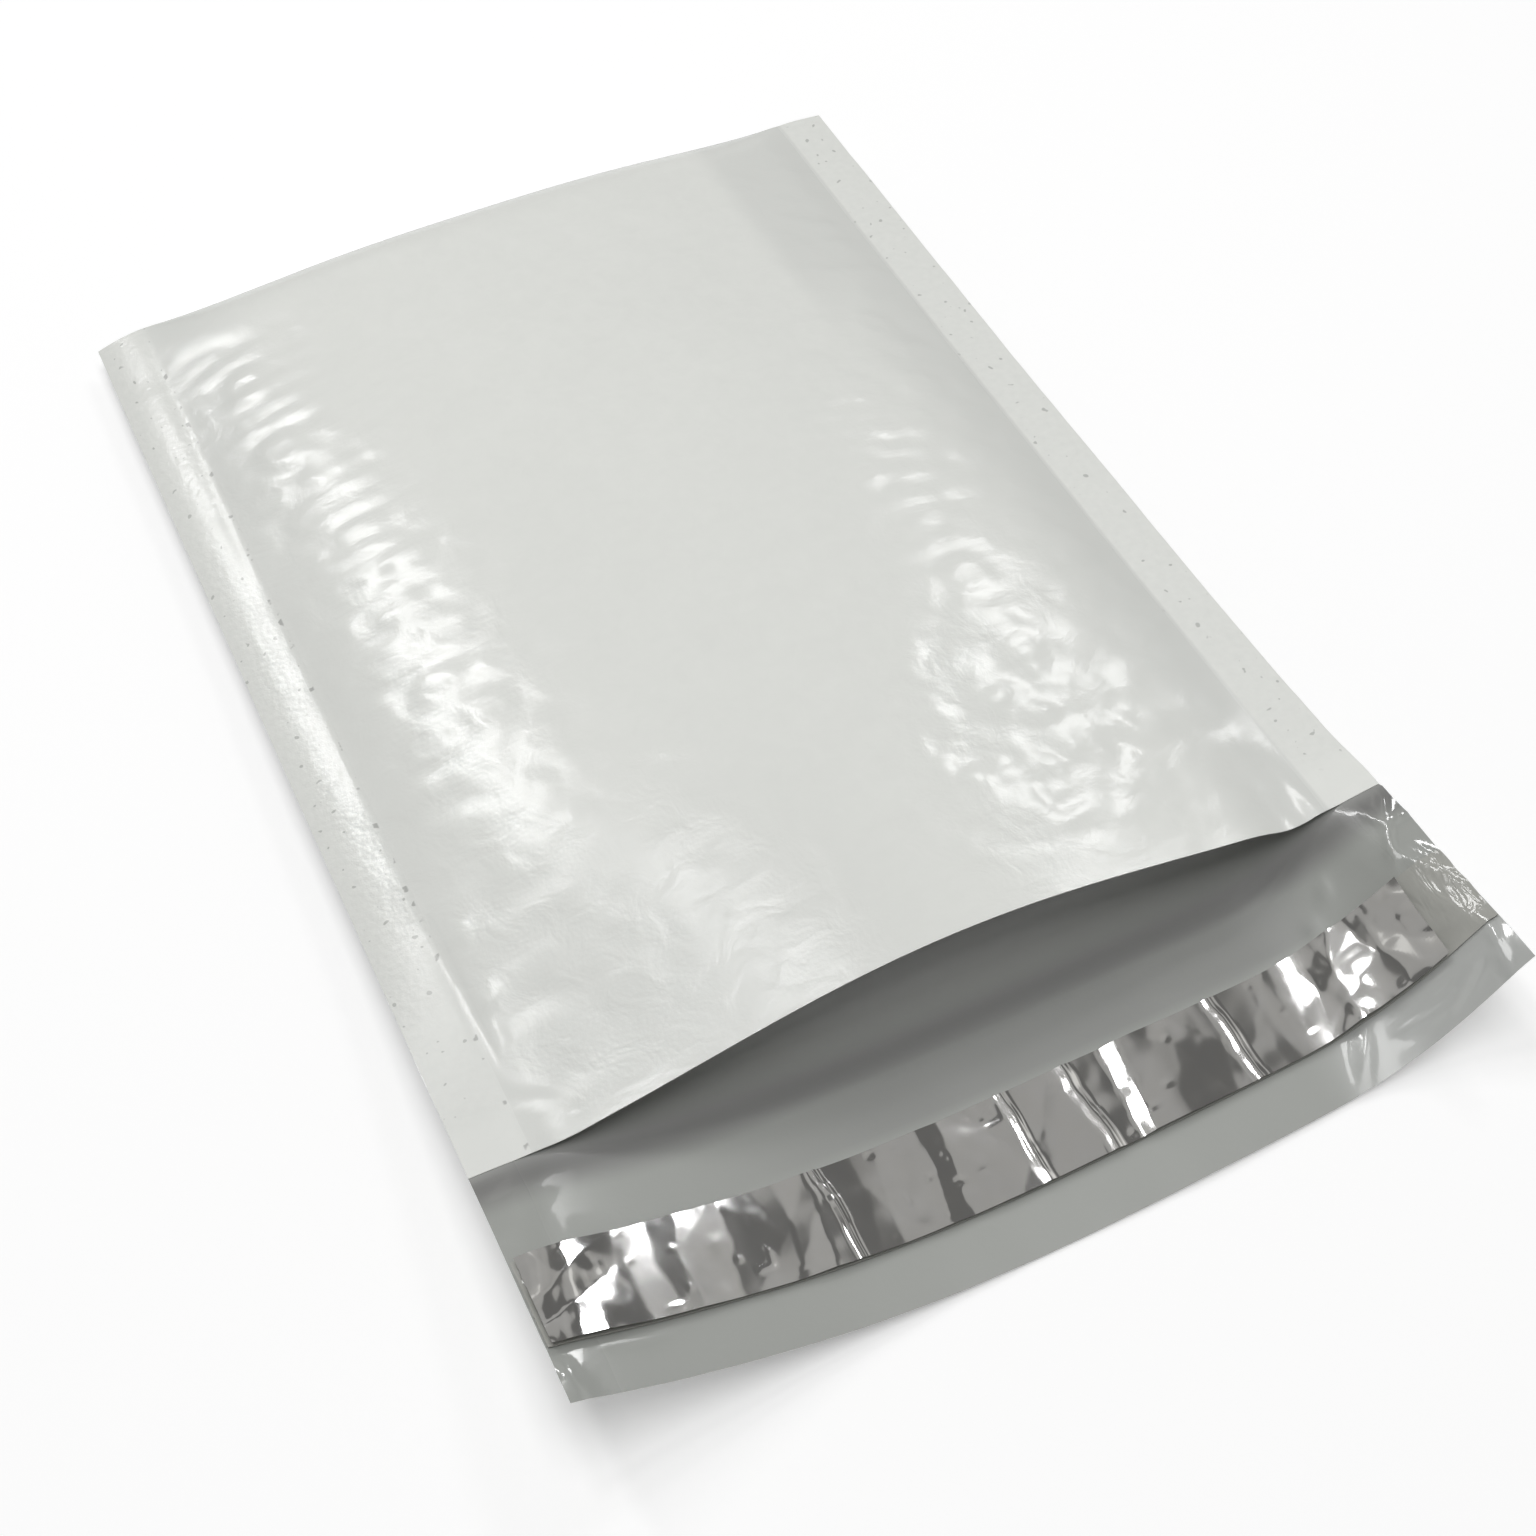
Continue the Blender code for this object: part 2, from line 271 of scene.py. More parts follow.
sheet = {
    "width": 0.165,
    "pouchLength": 0.212,
    "flapLength": 0.041,
    "flapBow": 0.004,
    "seamWidth": 0.010,
    "crownHeight": 0.0195,
    "lipHeight": 0.0200,
    "lipBow": 0.0017,
    "endThickness": 0.015,
    "endRound": 0.014,
    "seamHeightAtMouth": 0.0112,
    "seamHeightAtEnd": 0.0065,
    "flapCornerLeft": 0.0162,
    "flapCornerRight": 0.0175,
    "flatHalfWidth": 0.040,
    "mouthFlatLeft": 0.0065,
    "mouthFlatRight": 0.049,
    "mouthReach": 0.060,
    "crownSlope": 0.080,
    "lipRoundness": 2.0,
    "lipTaper": 1.9,
    "pillowRoundness": 2.6,
    "seamDropLeft": 0.0024,
    "seamDropRight": 0.0007,
    "cornerReach": 0.013,
    "cornerLiftLeft": 0.0006,
    "cornerLiftRight": 0.0016,
    "cornerLiftSpan": (0.071, 0.0825),
    "lipDipLeft": 0.0004,
    "lipDipRight": 0.0016,
    "lipDipPlace": 0.0655,
    "lipDipWidth": 0.0050,
    "lipDipFade": 0.004,
    "lipBowReach": 0.030,
    "weld": 0.00025,
    "softening": (-0.003, -0.0015, 0, 0.0015, 0.003),
}
halfWidth = sheet["width"] / 2
seamInner = halfWidth - sheet["seamWidth"]
foldStart = sheet["pouchLength"] - sheet["endRound"]
mouthY = cadBox[0][1] + sheet["flapLength"] + sheet["flapBow"]


def blend(start, end, share):
    return start + (end - start) * share


def clamp(value):
    return np.clip(value, 0.0, 1.0)


def ease(share):
    share = clamp(share)
    return share * share * (3 - 2 * share)


def span(place, start, end):
    # Goes smoothly from 0 at the start to 1 at the end
    return ease((place - start) / (end - start))


def sideHeight(x, s):
    nearMouth = (1 - clamp(s / sheet["pouchLength"])) ** 2
    inPouch = blend(sheet["seamHeightAtEnd"], sheet["seamHeightAtMouth"], nearMouth)
    corner = np.where(x < 0, sheet["flapCornerLeft"], sheet["flapCornerRight"])
    onFlap = blend(sheet["seamHeightAtMouth"], corner, clamp(-s / sheet["flapLength"]))
    return np.where(s >= 0, inPouch, onFlap)


def backHeight(x, s):
    mouthFlat = np.where(x < 0, sheet["mouthFlatLeft"], sheet["mouthFlatRight"])
    flat = blend(mouthFlat, sheet["flatHalfWidth"], ease(s / sheet["mouthReach"]))
    riseEnd = seamInner + sheet["seamWidth"] * clamp(-s / sheet["flapLength"])
    rise = [clamp((abs(x) + shift - flat) / (riseEnd - flat)) ** 2 for shift in sheet["softening"]]
    return sideHeight(x, s) * sum(rise) / len(rise)


def crown(s):
    fromMouth = blend(sheet["lipHeight"], sheet["crownHeight"], ease(s / sheet["mouthReach"]))
    return blend(sheet["endThickness"], fromMouth, ease((foldStart - s) / sheet["crownSlope"]))


def frontHeight(x, s):
    weldTop = sideHeight(x, s) + sheet["weld"]
    across = clamp(abs(x) / seamInner)
    lip = (1 - across ** sheet["lipRoundness"]) ** sheet["lipTaper"]
    pillow = 1 - across ** sheet["pillowRoundness"]
    return weldTop + (crown(s) - weldTop) * blend(lip, pillow, ease(s / sheet["mouthReach"]))


def halfThickness(x, s):
    s = np.minimum(s, foldStart)
    return (frontHeight(x, s) - backHeight(x, s)) / 2


def seamDrop(x, s):
    share = clamp((abs(x) - seamInner) / sheet["seamWidth"])
    drop = np.where(x < 0, sheet["seamDropLeft"], sheet["seamDropRight"])
    return drop * (0.55 * share + 0.45 * share ** 2.2) * ease(s / sheet["mouthReach"] + 0.1)


def hill(distance, width):
    return np.exp(-(distance / width) ** 2)


def cornerCurl(x, s, side):
    # The seams' ends curl up at the mouth, and the front dips beside them
    lifted = np.where(x < 0, sheet["cornerLiftLeft"], sheet["cornerLiftRight"])
    lifted = lifted * span(abs(x), *sheet["cornerLiftSpan"])
    dip = np.where(x < 0, sheet["lipDipLeft"], sheet["lipDipRight"])
    dip = dip * hill(abs(x) - sheet["lipDipPlace"], sheet["lipDipWidth"])
    dip = dip * ease((seamInner - abs(x)) / sheet["lipDipFade"])
    return (lifted - dip * (side > 0)) * hill(s, sheet["cornerReach"])


def pouchPoint(x, s, side, inset, least=0.0):
    along = np.minimum(s, foldStart)
    turn = (s - along) / sheet["endRound"] * math.pi / 2
    middle = (frontHeight(x, along) + backHeight(x, along)) / 2 - seamDrop(x, s)
    across = clamp(abs(x) / seamInner)
    lipBow = sheet["lipBow"] * (1 - across ** 2) ** 2 * (1 - ease(s / sheet["lipBowReach"])) * (side > 0)
    y = mouthY + along + (sheet["endRound"] - inset) * np.sin(turn) + lipBow
    half = np.maximum((halfThickness(x, s) - inset) * np.cos(turn), least)
    z = middle + side * half + cornerCurl(x, s, side)
    return np.stack([x, y, z], axis=-1)


def flapPoint(x, s, height):
    bow = sheet["flapBow"] * s / sheet["flapLength"] * (1 - (x / halfWidth) ** 2)
    return np.stack([x, mouthY - s - bow, backHeight(x, -s) + cornerCurl(x, s, -1) + height], axis=-1)


# Unevenness of the film

def softNoise(x, y, size, seed):
    # Smooth random hills of about the given size, from -1 to 1
    table = np.random.default_rng(seed).uniform(-1, 1, (64, 64))
    across, along = x / size, y / size
    column, row = np.floor(across).astype(int), np.floor(along).astype(int)
    shareX, shareY = ease(across - column), ease(along - row)
    corner = [[table[(row + j) % 64, (column + i) % 64] for i in (0, 1)] for j in (0, 1)]
    near = blend(corner[0][0], corner[0][1], shareX)
    far = blend(corner[1][0], corner[1][1], shareX)
    return blend(near, far, shareY)


def ridges(x, y, size, seed):
    # Sharp lines where the soft noise crosses zero
    return 1 - np.minimum(1, 3 * abs(softNoise(x, y, size, seed)))


bubbles = {
    "pitch": 0.0118,
    "topRadius": 0.0030,
    "footRadius": 0.0060,
    "fieldStart": 0.01825,
    "dent": 0.10,
}


def nearestBubble(x, s):
    # Distance to the nearest bubble's middle, and a number from 0 to 1 that differs from bubble to bubble
    pitch = bubbles["pitch"]
    rowGap = pitch * math.sqrt(3) / 2
    first = np.floor((s - bubbles["fieldStart"]) / rowGap)
    nearest = np.full(np.shape(x), 1.0)
    chance = np.zeros(np.shape(x))
    for row in (first, first + 1):
        shift = np.mod(row, 2) / 2
        column = np.round(x / pitch - shift)
        distance = np.hypot(x - (column + shift) * pitch, s - bubbles["fieldStart"] - row * rowGap)
        own = np.mod(np.sin(row * 12.9898 + column * 78.233) * 43758.5453, 1.0)
        chance = np.where(distance < nearest, own, chance)
        nearest = np.minimum(distance, nearest)
    return nearest, chance


def bubbleForm(distance):
    rim = 1 - ease((distance - bubbles["topRadius"]) / (bubbles["footRadius"] - bubbles["topRadius"]))
    dent = bubbles["dent"] * (1 - ease(distance / bubbles["topRadius"]))
    return rim - dent


# The front's wrinkles. Pairs are places between which something comes in or fades out
wrinkles = {
    "seamFade": 0.008,
    "lipFade": (0.010, 0.018),
    "foldFade": 0.006,
    "bubbleDepth": 0.00016,
    "bubbleShares": (0.45, 0.75),
    "middleShare": 0.35,
    "shoulderStart": (0.030, 0.045),
    "quietBubbles": {"share": 0.25, "along": (0.080, 0.040), "across": (0.010, -0.020)},
    "lean": 0.12,
    "leanWander": {"depth": 0.0020, "size": 0.022, "seed": 11},
    "puckerDepth": 0.00019,
    "puckerRightShare": 1.5,
    "puckerStretch": 0.45,
    "puckerLength": 0.0046,
    "puckerSeed": 3,
    "puckerReach": 0.035,
    "puckerFoldFade": 0.008,
    "crumpleDepth": 0.00030,
    "crumpleMiddle": (0.030, 0.034),
    "crumpleSpread": (0.028, 0.030),
    "crumpleLipFade": (0.004, 0.012),
    "bend": {"depth": 0.0020, "size": 0.006, "seed": 21},
    "lumps": {"depth": 0.9, "size": 0.0052, "seed": 5},
    "smallLumps": {"depth": 0.6, "size": 0.0030, "seed": 6},
    "folds": {"depth": 0.35, "size": 0.008, "seed": 7},
    "rippleDepth": 0.000075,
    "rippleLength": 0.0059,
    "rippleLeft": 0.051,
    "rippleRight": 0.042,
    "rippleWidth": 0.012,
    "rippleShift": 0.007,
    "rippleShiftStart": (0.150, 0.190),
    "rippleStart": (0.055, 0.085),
    "rippleRightEnd": (0.150, 0.120),
    "rippleWander": {"depth": 3.0, "size": 0.018, "seed": 12},
    "rippleStrength": {"depth": 0.35, "size": 0.011, "seed": 13},
    "fine": {"depth": 0.000060, "size": 0.0044, "seed": 14},
    "swell": {"depth": 0.00045, "size": 0.034, "seed": 8},
    "quietSwell": {"share": 0.12, "along": (0.080, 0.035), "across": (0.012, -0.010)},
    "creases": [
        ((-0.0690, 0.0400), (-0.0655, 0.0440), 0.0013, 0.00030),
        ((-0.0700, 0.0270), (-0.0660, 0.0290), 0.0013, 0.00030),
        ((-0.0705, 0.0150), (-0.0690, 0.0260), 0.0011, 0.00025),
        ((-0.0723, 0.0480), (-0.0708, 0.0120), 0.0010, -0.00045),
        ((-0.0712, 0.0105), (-0.0640, 0.0060), 0.0010, 0.00022),
    ],
}


def uneven(x, s, layer):
    return layer["depth"] * softNoise(x, s, layer["size"], layer["seed"])


def creaseHeight(x, s, creases):
    # Each crease has two ends as x and s, then its half width and its height
    raised = 0.0
    for start, end, width, height in creases:
        runX, runS = end[0] - start[0], end[1] - start[1]
        along = ((x - start[0]) * runX + (s - start[1]) * runS) / (runX ** 2 + runS ** 2)
        away = np.hypot(x - start[0] - clamp(along) * runX, s - start[1] - clamp(along) * runS)
        lowEnds = np.sin(math.pi * blend(0.12, 0.88, clamp(along)))
        raised = raised + height * np.exp(-(away / width) ** 1.3) * lowEnds
    return raised


def onPad(x, s):
    # 1 on the padded front, fading out at its seams, its lip and its fold
    fromSeam = ease((seamInner - abs(x)) / wrinkles["seamFade"])
    return fromSeam * span(s, *wrinkles["lipFade"]) * beforeFold(s, wrinkles["foldFade"])


def beforeFold(s, fade):
    return span(s, foldStart + fade, foldStart - fade)


def quietShare(x, s, corner):
    # The front is smoother beside the left half of the lip
    return blend(1.0, corner["share"], span(s, *corner["along"]) * span(x, *corner["across"]))


def slanted(x, s):
    # Puckers and ripples lean, and wander a little
    return s + wrinkles["lean"] * abs(x) + uneven(x, s, wrinkles["leanWander"])


def bubblePrint(x, s):
    # The lining's bubbles, pressing through most where the film is tight over the shoulders
    distance, chance = nearestBubble(x, s)
    least, spread = wrinkles["bubbleShares"]
    form = (least + spread * chance) * bubbleForm(distance) - 0.5
    tight = blend(wrinkles["middleShare"], 1.0, span(abs(x), *wrinkles["shoulderStart"]))
    tight = tight * quietShare(x, s, wrinkles["quietBubbles"])
    return wrinkles["bubbleDepth"] * form * onPad(x, s) * tight


def puckerHeight(x, s):
    fromSeam = clamp((seamInner - abs(x)) / wrinkles["puckerReach"])
    fade = ease(fromSeam * 5) * (1 - fromSeam) ** 1.3 * beforeFold(s, wrinkles["puckerFoldFade"])
    across = abs(x) * wrinkles["puckerStretch"]
    pucker = softNoise(across, slanted(x, s), wrinkles["puckerLength"], wrinkles["puckerSeed"])
    return wrinkles["puckerDepth"] * np.where(x > 0, wrinkles["puckerRightShare"], 1.0) * pucker * fade


def crumpleShare(x, s):
    middle, spread = wrinkles["crumpleMiddle"], wrinkles["crumpleSpread"]
    away = ((x - middle[0]) / spread[0]) ** 2 + ((s - middle[1]) / spread[1]) ** 2
    return np.exp(-away ** 1.5) * span(s, *wrinkles["crumpleLipFade"])


def crumpleHeight(x, s):
    distance, chance = nearestBubble(x, s)
    bent = uneven(x, s, wrinkles["bend"])
    lumps = uneven(x + bent, s - bent, wrinkles["lumps"]) + uneven(x - bent, s + bent, wrinkles["smallLumps"])
    folds = wrinkles["folds"]
    lines = folds["depth"] * ridges(x + bent, s + bent, folds["size"], folds["seed"])
    bubbleTops = 0.5 * (chance - 0.5) * bubbleForm(distance)
    return wrinkles["crumpleDepth"] * crumpleShare(x, s) * (lumps + lines + bubbleTops)


def rippleHeight(x, s):
    # Fine waves across both shoulders
    left = wrinkles["rippleLeft"] + wrinkles["rippleShift"] * span(s, *wrinkles["rippleShiftStart"])
    onShoulder = hill(abs(x) - np.where(x < 0, left, wrinkles["rippleRight"]), wrinkles["rippleWidth"])
    onShoulder = onShoulder * span(s, *wrinkles["rippleStart"]) * beforeFold(s, wrinkles["foldFade"])
    onShoulder = onShoulder * np.where(x > 0, span(s, *wrinkles["rippleRightEnd"]), 1.0)
    phase = 2 * math.pi * slanted(x, s) / wrinkles["rippleLength"] + uneven(x, s, wrinkles["rippleWander"])
    strength = 1 - wrinkles["rippleStrength"]["depth"] + uneven(x, s, wrinkles["rippleStrength"])
    return wrinkles["rippleDepth"] * np.sin(phase) * strength * onShoulder


def frontUnevenness(x, s):
    raised = bubblePrint(x, s) + puckerHeight(x, s) + crumpleHeight(x, s) + rippleHeight(x, s)
    raised = raised + creaseHeight(x, s, wrinkles["creases"])
    swell = uneven(x, s, wrinkles["swell"]) * quietShare(x, s, wrinkles["quietSwell"])
    return raised + (uneven(x, s, wrinkles["fine"]) + swell) * onPad(x, s)


seamSurface = {
    "depth": 0.00008,
    "start": 0.003,
    "foldFade": (0.004, -0.006),
    "ripple": {"depth": 1.0, "size": 0.006, "seed": 31},
    "rippleStretch": 0.25,
    "swell": {"depth": 2.4, "size": 0.030, "seed": 32},
    "swellStretch": 0.1,
    "crinkle": {"depth": 3.2, "size": 0.0038, "seed": 33},
    "crinklePlace": 0.012,
    "crinkleReach": 0.009,
}


def seamUnevenness(x, s):
    fade = [foldStart + place for place in seamSurface["foldFade"]]
    onSeam = span(abs(x), seamInner, seamInner + seamSurface["start"]) * span(s, *fade)
    ripple = uneven(abs(x) * seamSurface["rippleStretch"], s, seamSurface["ripple"])
    swell = uneven(abs(x) * seamSurface["swellStretch"], s, seamSurface["swell"])
    nearMouth = hill(s - seamSurface["crinklePlace"], seamSurface["crinkleReach"]) * (x > 0)
    crinkle = uneven(x, s, seamSurface["crinkle"]) * nearMouth
    return seamSurface["depth"] * onSeam * (ripple + swell + crinkle)


# Creases in the flap, with s as the distance out from the mouth
flapCreases = [
    ((0.0824, 0.0003), (0.0780, 0.0080), 0.0007, 0.00085),
    ((0.0780, 0.0080), (0.0748, 0.0150), 0.0007, 0.00085),
    ((0.0765, 0.0025), (0.0780, 0.0080), 0.0009, 0.00060),
    ((0.0785, 0.0080), (0.0825, 0.0075), 0.0006, 0.00060),
    ((0.0755, 0.0120), (0.0822, 0.0250), 0.0008, 0.00080),
    ((0.0795, 0.0135), (0.0825, 0.0200), 0.0006, 0.00060),
    ((0.0750, 0.0160), (0.0790, 0.0300), 0.0009, 0.00055),
    ((0.0805, 0.0310), (0.0785, 0.0400), 0.0008, 0.00080),
    ((0.0770, 0.0350), (0.0700, 0.0385), 0.0007, 0.00080),
    ((0.0710, 0.0380), (0.0620, 0.0365), 0.0007, 0.00070),
    ((0.0590, 0.0320), (0.0525, 0.0410), 0.0016, 0.00115),
    ((0.0640, 0.0330), (0.0770, 0.0350), 0.0012, 0.00060),
    ((0.0665, 0.0085), (0.0650, 0.0125), 0.0010, 0.00055),
    ((0.0620, 0.0125), (0.0605, 0.0160), 0.0010, 0.00050),
    ((0.0300, 0.0125), (0.0560, 0.0150), 0.0007, 0.00025),
    ((-0.0825, 0.0320), (-0.0803, 0.0400), 0.0009, 0.00090),
    ((-0.0740, 0.0335), (-0.0650, 0.0345), 0.0010, 0.00045),
    ((-0.0800, 0.0060), (-0.0700, 0.0040), 0.0012, 0.00030),
]
flapSurface = {
    "start": 0.012,
    "swell": {"depth": 0.5, "size": 0.026, "seed": 41},
    "swellDepth": 0.0008,
    "ripple": {"depth": 0.5, "size": 0.0075, "seed": 42},
    "rippleStretch": 0.35,
    "rippleDepth": 0.00025,
}


def flapUnevenness(x, s):
    # Only upwards, because the flap lies on the floor; s is the distance out from the mouth
    swell = 0.5 + uneven(x, s, flapSurface["swell"])
    ripple = 0.5 + uneven(x, s * flapSurface["rippleStretch"], flapSurface["ripple"])
    raised = flapSurface["swellDepth"] * swell + flapSurface["rippleDepth"] * ripple
    return ease(s / flapSurface["start"]) * raised + creaseHeight(x, s, flapCreases)


# Meshes from grids of points

def newGrid(name, columns, rows):
    bpy.ops.object.select_all(action="DESELECT")
    bpy.ops.mesh.primitive_grid_add(x_subdivisions=columns - 1, y_subdivisions=rows - 1, size=1)
    piece = bpy.context.object
    piece.name = name
    piece.data.name = name
    return piece


def layOut(piece, points, flat, outwards):
    # Moves the grid's points to their places, keeps the flat sheet as UVs and turns the faces outwards
    mesh = piece.data
    mesh.vertices.foreach_set("co", points.reshape(-1).astype(np.float32))
    corners = np.empty(len(mesh.loops), dtype=np.int32)
    mesh.loops.foreach_get("vertex_index", corners)
    layer = mesh.uv_layers[0]
    layer.name = "flat"
    layer.data.foreach_set("uv", flat.reshape(-1, 2)[corners].reshape(-1).astype(np.float32))
    if not outwards:
        mesh.flip_normals()
    mesh.update()


def addLayer(piece, name, values):
    layer = piece.data.attributes.new(name, "FLOAT", "POINT")
    layer.data.foreach_set("value", np.ascontiguousarray(values.reshape(-1), dtype=np.float32))


def thicken(piece, thickness, offset, innerSlot=0, rimSlot=0):
    solid = piece.modifiers.new("thickness", "SOLIDIFY")
    solid.thickness = thickness
    solid.offset = offset
    solid.material_offset = innerSlot
    solid.material_offset_rim = rimSlot
    bpy.context.view_layer.objects.active = piece
    bpy.ops.object.modifier_apply(modifier="thickness")


def settle(piece, node):
    piece.data.shade_smooth()
    piece.data.set_sharp_from_angle(angle=math.radians(50))
    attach(piece, "root")
    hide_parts(node)


def evenSteps(start, end, spacing):
    return np.linspace(start, end, max(2, int(round(abs(end - start) / spacing)) + 1))


# Outer film: one sheet from the flap's edge over the back panel, round the fold and back to the lip

film = {
    "thickness": 0.00012,
    "columnSpacing": 0.00120,
    "cornerSpacing": 0.00060,
    "cornerStart": 0.0660,
    "flapSpacing": 0.00085,
    "backSpacing": 0.005,
    "foldSpacing": 0.0011,
    "frontSpacing": 0.00115,
}


def filmRows():
    length, start = sheet["pouchLength"], foldStart
    rows = [evenSteps(-sheet["flapLength"], 0, film["flapSpacing"])]
    rows.append(evenSteps(0, start, film["backSpacing"])[1:])
    rows.append(evenSteps(start, 2 * length - start, film["foldSpacing"])[1:])
    rows.append(evenSteps(2 * length - start, 2 * length, film["frontSpacing"])[1:])
    return np.concatenate(rows)


def filmPoints(x, v):
    # v runs along the whole sheet: negative on the flap, 0 at the mouth, then back, fold and front
    onFlap = v < 0
    onFront = v > sheet["pouchLength"]
    s = np.where(onFront, 2 * sheet["pouchLength"] - v, v)
    side = np.where(onFront, 1, -1)
    pouch = pouchPoint(x, np.maximum(s, 0), side, 0.0, least=sheet["weld"] / 2)
    flap = flapPoint(x, np.maximum(-s, 0), flapUnevenness(x, np.maximum(-s, 0)))
    points = np.where(onFlap[..., None], flap, pouch)
    raised = np.where(onFront, frontUnevenness(x, s), 0.0)
    raised = raised + np.where(onFlap, 0.0, side * seamUnevenness(x, s))
    across = np.gradient(points, axis=1)
    along = np.gradient(points, axis=0)
    normal = np.cross(along, across)
    normal /= np.linalg.norm(normal, axis=-1, keepdims=True)
    return points + normal * raised[..., None]


# Where the film's tones change, as pairs of places, and how strongly
tones = {
    "seamBlur": 0.0006,
    "seamStart": (0.007, 0.011),
    "ringStart": (0.010, 0.016),
    "ringFade": 0.002,
    "shoulderInner": (0.030, 0.040),
    "shoulderOuter": (0.068, 0.062),
    "shoulderStart": (0.040, 0.080),
    "shoulderFoldFade": 0.010,
    "matteBlur": 0.001,
    "matteLeft": 0.8,
    "nearMouth": (0.070, 0.0),
    "nearFold": (0.130, 0.170),
    # Painted shadow of the lip on the flap, fading out inside the pouch
    "paintedLipShadow": (-0.009, -0.003),
    "behindLip": (-0.003, 0.004),
    # Painted light deep inside the pouch, lighter than its shade would be
    "deepStart": (0.003, 0.013),
    "deepLeast": 0.14,
    # The flap is also painted darker between the strip and the mouth
    "dim": {"share": 0.55, "left": (-0.060, -0.010), "right": (0.067, 0.055), "out": (-0.0170, -0.0140)},
    # The flap's right margin below the strip, which gets a painted sheen and gloss
    "marginAcross": (0.045, 0.060),
    "marginOut": (0.029, 0.033),
    "marginGloss": 0.75,
    "edgeGlossWidth": 0.010,
    # Where the white film is painted darker, as painted shade on its slopes
    "slopeStart": (0.050, 0.070),
    "slopeLeft": {"least": 0.35, "nearMouth": 0.5, "nearFold": 0.5},
    "slopeRightStart": (0.047, 0.054),
    "slopeRightShare": 0.85,
    "lipSlopeStart": (0.012, -0.033),
    "lipSlopeShare": 0.85,
    "seamSlope": 0.45,
}


def addOuterLayers(piece, x, v, s):
    # Layers for the white side, with painted shade beside the seams, on the front's left part near the lip
    # and on the left seam near the mouth
    away, chance = nearestBubble(x, s)
    onSeam = span(abs(x), seamInner - tones["seamBlur"], seamInner + tones["seamBlur"]) * (v >= 0)
    addLayer(piece, "seam", onSeam * span(s, *tones["seamStart"]))
    addLayer(piece, "bubbleAway", away / bubbles["footRadius"])
    insideSeam = span(abs(x), seamInner + tones["ringFade"], seamInner)
    addLayer(piece, "bubbleDepth", chance * span(s, *tones["ringStart"]) * insideSeam)
    shoulder = span(abs(x), *tones["shoulderInner"]) * span(abs(x), *tones["shoulderOuter"])
    shoulder = shoulder * span(s, *tones["shoulderStart"])
    addLayer(piece, "shoulder", shoulder * span(s, foldStart, foldStart - tones["shoulderFoldFade"]))
    addLayer(piece, "crumple", crumpleShare(x, s) * (v > sheet["pouchLength"]))
    nearMouth, nearFold = span(s, *tones["nearMouth"]), span(s, *tones["nearFold"])
    matteRight = span(x, seamInner - tones["matteBlur"], seamInner + tones["matteBlur"])
    addLayer(piece, "matte", matteRight + tones["matteLeft"] * (x < -seamInner) * nearMouth)
    # Painted shade: the film is painted darker where it slopes down to the seams, where less light falls
    left = tones["slopeLeft"]
    left = left["least"] + left["nearMouth"] * nearMouth + left["nearFold"] * nearFold
    slope = span(abs(x), *tones["slopeStart"]) * np.where(x < 0, left, 1.0)
    slope = np.maximum(slope, tones["slopeRightShare"] * nearFold * span(x, *tones["slopeRightStart"]))
    slope = np.maximum(slope, tones["lipSlopeShare"] * nearMouth * span(x, *tones["lipSlopeStart"]))
    seamSlope = np.where(x < 0, tones["seamSlope"] * nearMouth, 0.0)
    addLayer(piece, "slope", np.where(abs(x) < seamInner, slope, seamSlope))


def addInnerLayers(piece, x, v):
    # Layers for the grey side: a painted shadow under the lip, darker between the strip and the mouth,
    # painted light deep in the pouch, a painted sheen on the flap's right margin, and glossy at that margin
    # and the edges
    behindLip = span(v, *tones["behindLip"])
    dim = tones["dim"]
    dimmed = dim["share"] * span(x, *dim["left"]) * span(x, *dim["right"]) * span(v, *dim["out"])
    addLayer(piece, "inside", np.maximum(span(v, *tones["paintedLipShadow"]), dimmed) * (1 - behindLip))
    addLayer(piece, "deep", blend(span(v, *tones["deepStart"]), behindLip, tones["deepLeast"]))
    # Painted sheen on the flap's right margin below the strip
    margin = span(x, *tones["marginAcross"]) * span(-v, *tones["marginOut"])
    addLayer(piece, "sheen", margin)
    edge = hill(halfWidth - abs(x), tones["edgeGlossWidth"])
    addLayer(piece, "gloss", edge + tones["marginGloss"] * margin)


def makeFilm():
    plain = evenSteps(-halfWidth, film["cornerStart"], film["columnSpacing"])
    columns = np.concatenate([plain, evenSteps(film["cornerStart"], halfWidth, film["cornerSpacing"])[1:]])
    rows = filmRows()
    x, v = np.meshgrid(columns, rows)
    s = np.where(v > sheet["pouchLength"], 2 * sheet["pouchLength"] - v, v)
    piece = newGrid("outerFilm", len(columns), len(rows))
    layOut(piece, filmPoints(x, v), np.stack([x, v], axis=-1), outwards=False)
    addOuterLayers(piece, x, v, s)
    addInnerLayers(piece, x, v)
    piece.data.materials.append(whiteFilm())
    piece.data.materials.append(greyFilm())
    thicken(piece, film["thickness"], -1, innerSlot=1)
    settle(piece, "outer_film")


